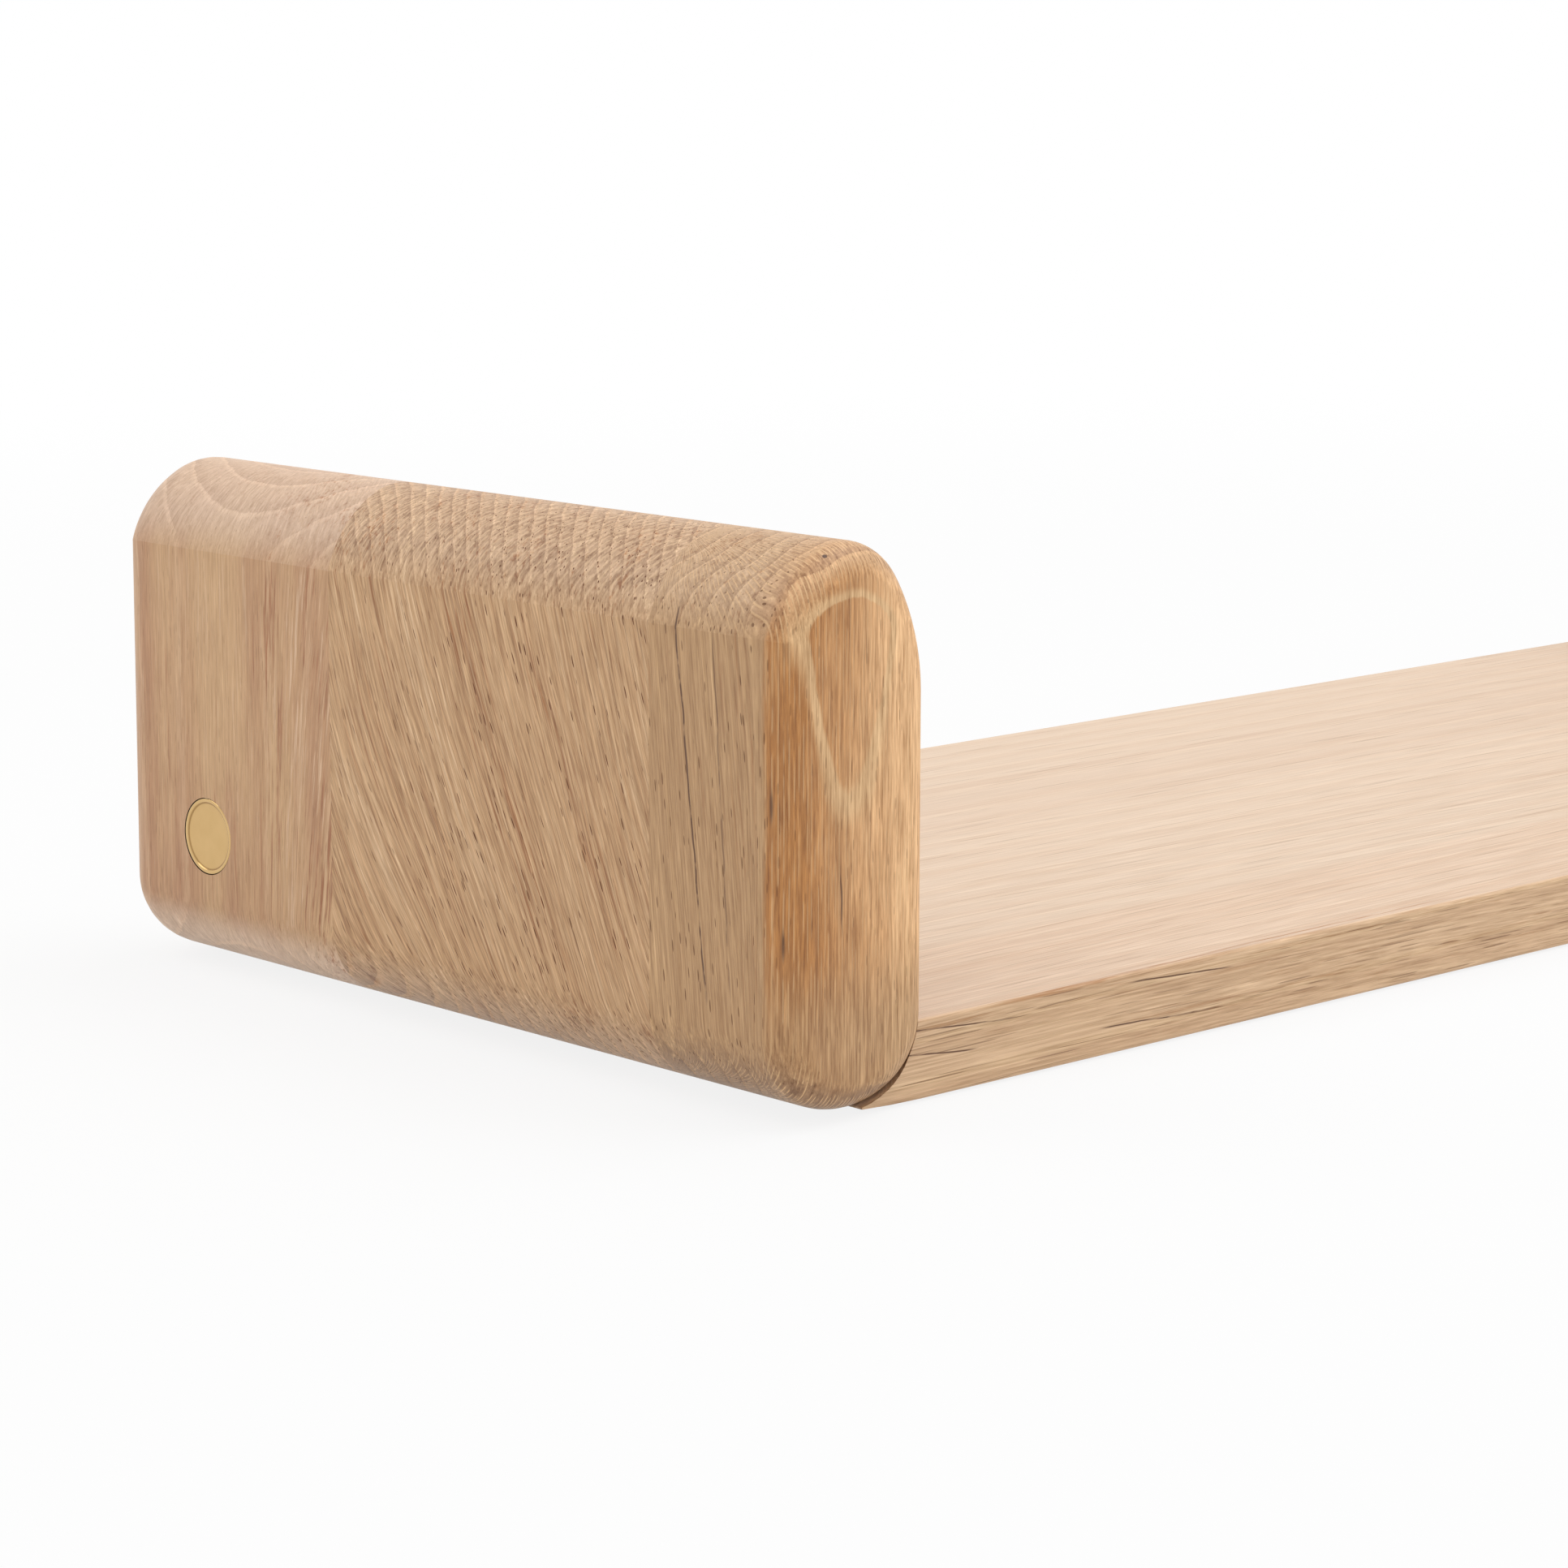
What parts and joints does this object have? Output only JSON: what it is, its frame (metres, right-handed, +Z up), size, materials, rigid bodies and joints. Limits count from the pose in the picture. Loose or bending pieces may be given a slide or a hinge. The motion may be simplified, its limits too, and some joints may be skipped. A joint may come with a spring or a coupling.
{
  "type": "wall shelf",
  "caption": "Oak wall shelf: a thin board glued up from staves between two thick end panels with rounded edges, their rears fitted with keyhole hangers.",
  "frame": {"origin": "middle of the footprint, on the board's underside, which is the lowest face", "axes": "+X along the shelf, towards the right end panel; +Y from the front to the wall; +Z up"},
  "size_m": [0.6, 0.222, 0.1127],
  "materials": {
    "panel_oak": "sanded and soaped oak, matt",
    "board_oak": "sanded and soaped oak, matt",
    "beech": "turned and fluted beech",
    "brass": "satin brass with a polished rim",
    "zinc_steel": "bright zinc plating"
  },
  "bodies": {
    "root": {"left_front_stave": "panel_oak", "left_middle_stave": "panel_oak", "left_rear_stave": "panel_oak", "right_front_stave": "panel_oak", "right_middle_stave": "panel_oak", "right_rear_stave": "panel_oak", "board_stave_1": "board_oak", "board_stave_2": "board_oak", "board_stave_3": "board_oak", "board_stave_4": "board_oak", "board_stave_5": "board_oak", "left_dowels": "beech", "right_dowels": "beech", "brass_disc": "brass", "hanger_plates": "zinc_steel", "hanger_screws": "zinc_steel"}
  },
  "joints": []
}
